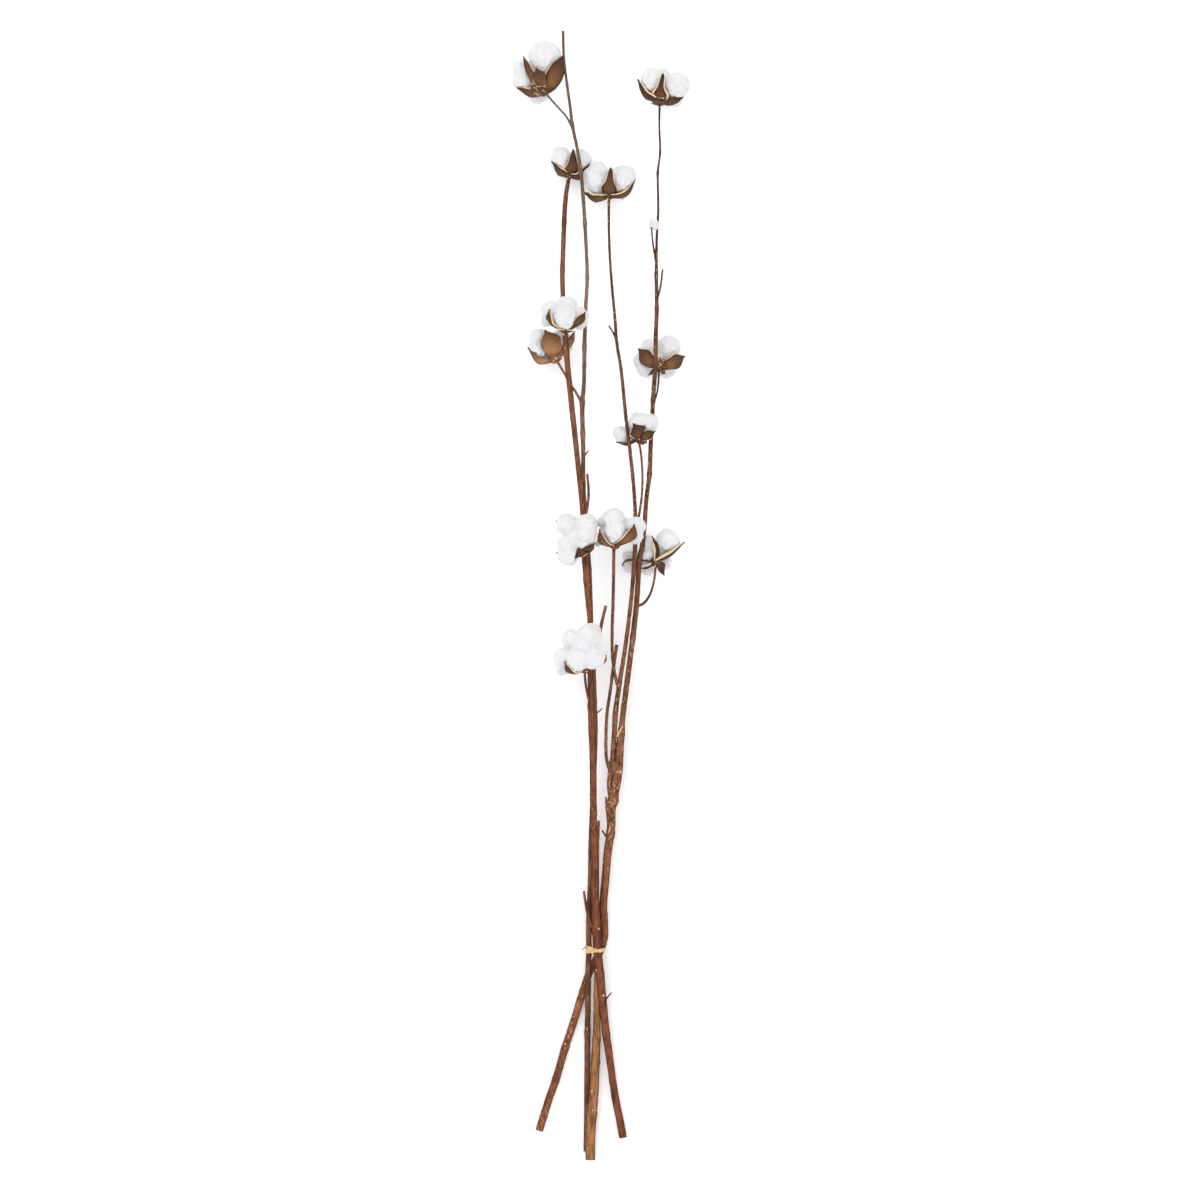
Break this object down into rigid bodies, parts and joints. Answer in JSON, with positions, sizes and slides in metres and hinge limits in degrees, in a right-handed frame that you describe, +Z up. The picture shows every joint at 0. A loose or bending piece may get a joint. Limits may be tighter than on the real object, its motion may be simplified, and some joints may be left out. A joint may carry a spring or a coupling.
{
  "type": "cotton stem bunch",
  "caption": "Dried cotton stems with open bolls of white cotton in brown burrs, tied with raffia near the cut ends and laid flat as one decorative bunch.",
  "frame": {"origin": "middle of the bounding box, on the surface that the bunch lies on", "axes": "+Z up from the surface; +Y along the stems, from the cut ends to the top bolls; +X to the right of the bunch seen from above with its top away from the viewer"},
  "size_m": [0.1781, 1.1296, 0.0792],
  "materials": {
    "bark_dark": "dry bark",
    "bark_grey": "dry bark",
    "bark_orange": "dry bark with pale specks",
    "bark_tan": "dry bark",
    "burr": "dry husk",
    "cotton": "soft raw fibre",
    "raffia": "dry twisted fibre"
  },
  "bodies": {
    "root": {"stem_left_front": "bark_dark", "stem_left_back": "bark_grey", "stem_right": "bark_orange", "stem_short": "bark_tan", "burr_top_left": "burr", "cotton_top_left": "cotton", "burr_top_right": "burr", "cotton_top_right": "cotton", "burr_upper_left": "burr", "cotton_upper_left": "cotton", "burr_upper_middle": "burr", "cotton_upper_middle": "cotton", "burr_left_upper_front": "burr", "cotton_left_upper_front": "cotton", "burr_left_ochre": "burr", "cotton_left_ochre": "cotton", "burr_right_upper_back": "burr", "cotton_right_upper_back": "cotton", "burr_right_small": "burr", "cotton_right_small": "cotton", "burr_left_middle_front": "burr", "cotton_left_middle_front": "cotton", "burr_middle_front": "burr", "cotton_middle_front": "cotton", "burr_right_low_back": "burr", "cotton_right_low_back": "cotton", "burr_left_low_front": "burr", "cotton_left_low_front": "cotton", "raffia_tie": "raffia", "cotton_tuft": "cotton"}
  },
  "joints": []
}
